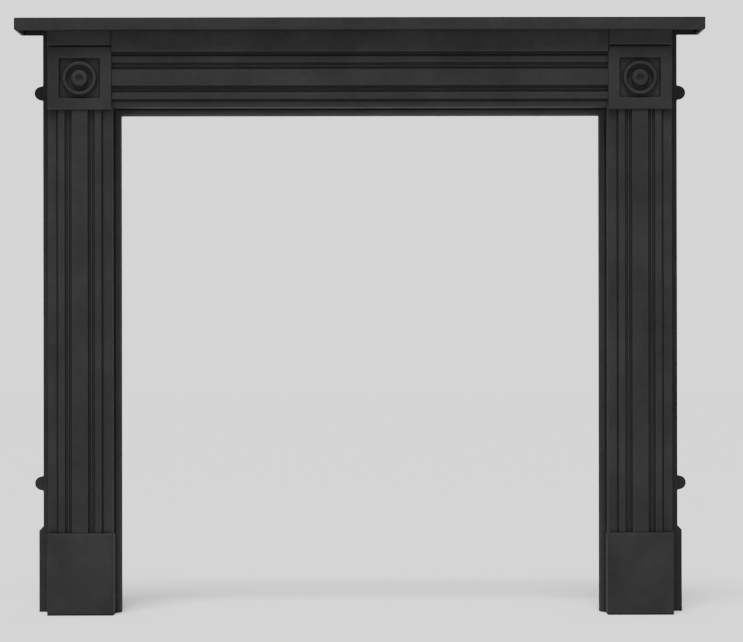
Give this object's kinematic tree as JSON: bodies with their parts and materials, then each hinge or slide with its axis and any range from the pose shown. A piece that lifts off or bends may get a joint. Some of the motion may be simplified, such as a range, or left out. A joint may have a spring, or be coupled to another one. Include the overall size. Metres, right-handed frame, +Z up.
{
  "type": "fireplace mantelpiece",
  "caption": "Cast-iron fireplace mantelpiece in satin black, with reeded legs and frieze, corner roundels, plain foot blocks and a plain shelf.",
  "frame": {"origin": "on the floor, halfway along the width of the shelf and halfway between the wall and the shelf's front edge", "axes": "+X along the wall to the right as seen from the room, -Y out into the room, +Z up"},
  "size_m": [1.365, 0.125, 1.183],
  "materials": {
    "blackened_iron": "satin black over the cast skin"
  },
  "bodies": {
    "root": {"shelf": "blackened_iron", "frieze": "blackened_iron", "left_jamb": "blackened_iron", "right_jamb": "blackened_iron"}
  },
  "joints": []
}
